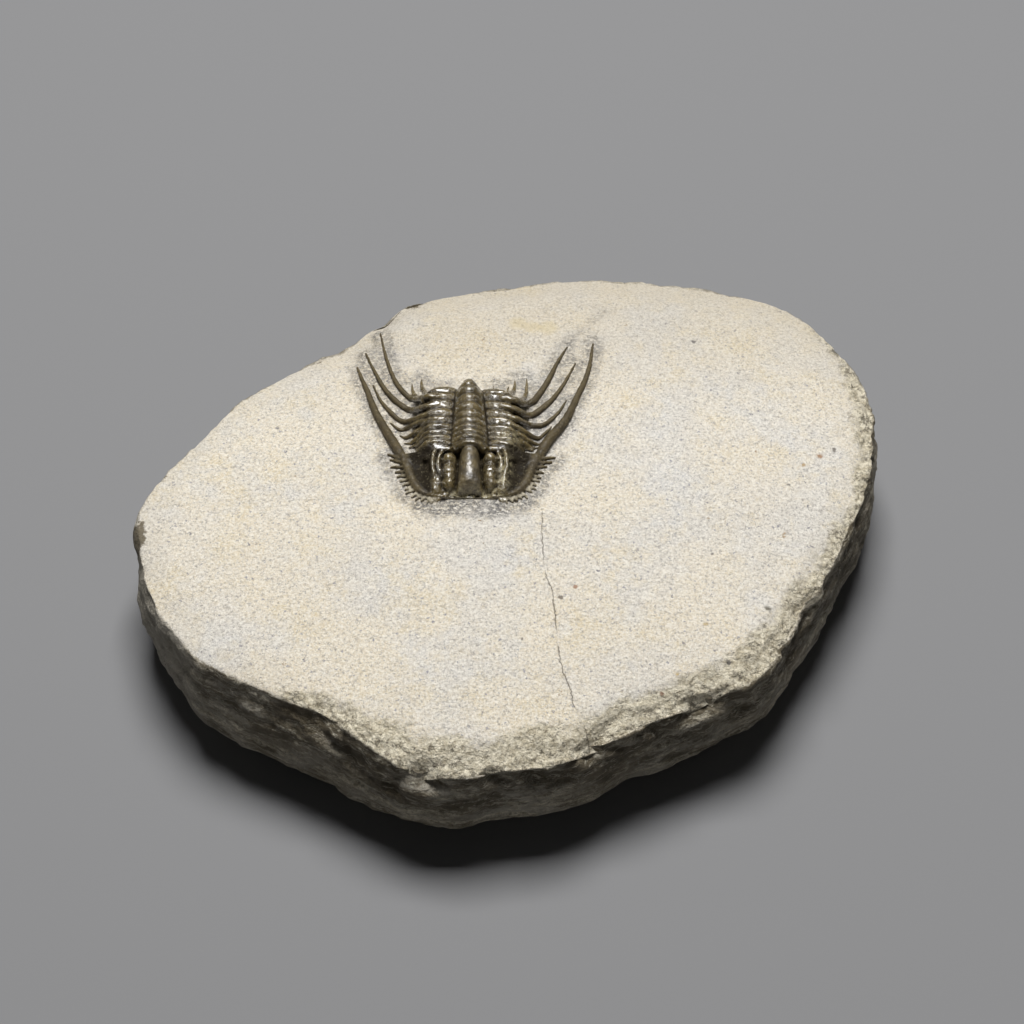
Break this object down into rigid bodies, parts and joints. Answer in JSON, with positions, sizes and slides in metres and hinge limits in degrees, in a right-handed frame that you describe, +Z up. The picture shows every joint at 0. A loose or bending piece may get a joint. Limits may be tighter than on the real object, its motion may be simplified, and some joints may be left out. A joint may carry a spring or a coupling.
{
  "type": "fossil leonaspis trilobite",
  "caption": "Spiny trilobite fossil standing in relief on a rounded, flat-topped block of pale limestone; the block lies flat on its underside.",
  "frame": {"origin": "under the middle of the block's outline, on the surface that the block lies on", "axes": "+X to the trilobite's left-hand side as it faces the viewer at -Y, along the block's longest extent; +Y towards its tail; +Z up out of the dressed face"},
  "size_m": [0.105, 0.0918, 0.0247],
  "materials": {
    "limestone": "matt, fine-grained",
    "shell": "polished, semi-gloss calcite"
  },
  "bodies": {
    "root": {"limestone_block": "limestone", "trilobite": "shell"}
  },
  "joints": []
}
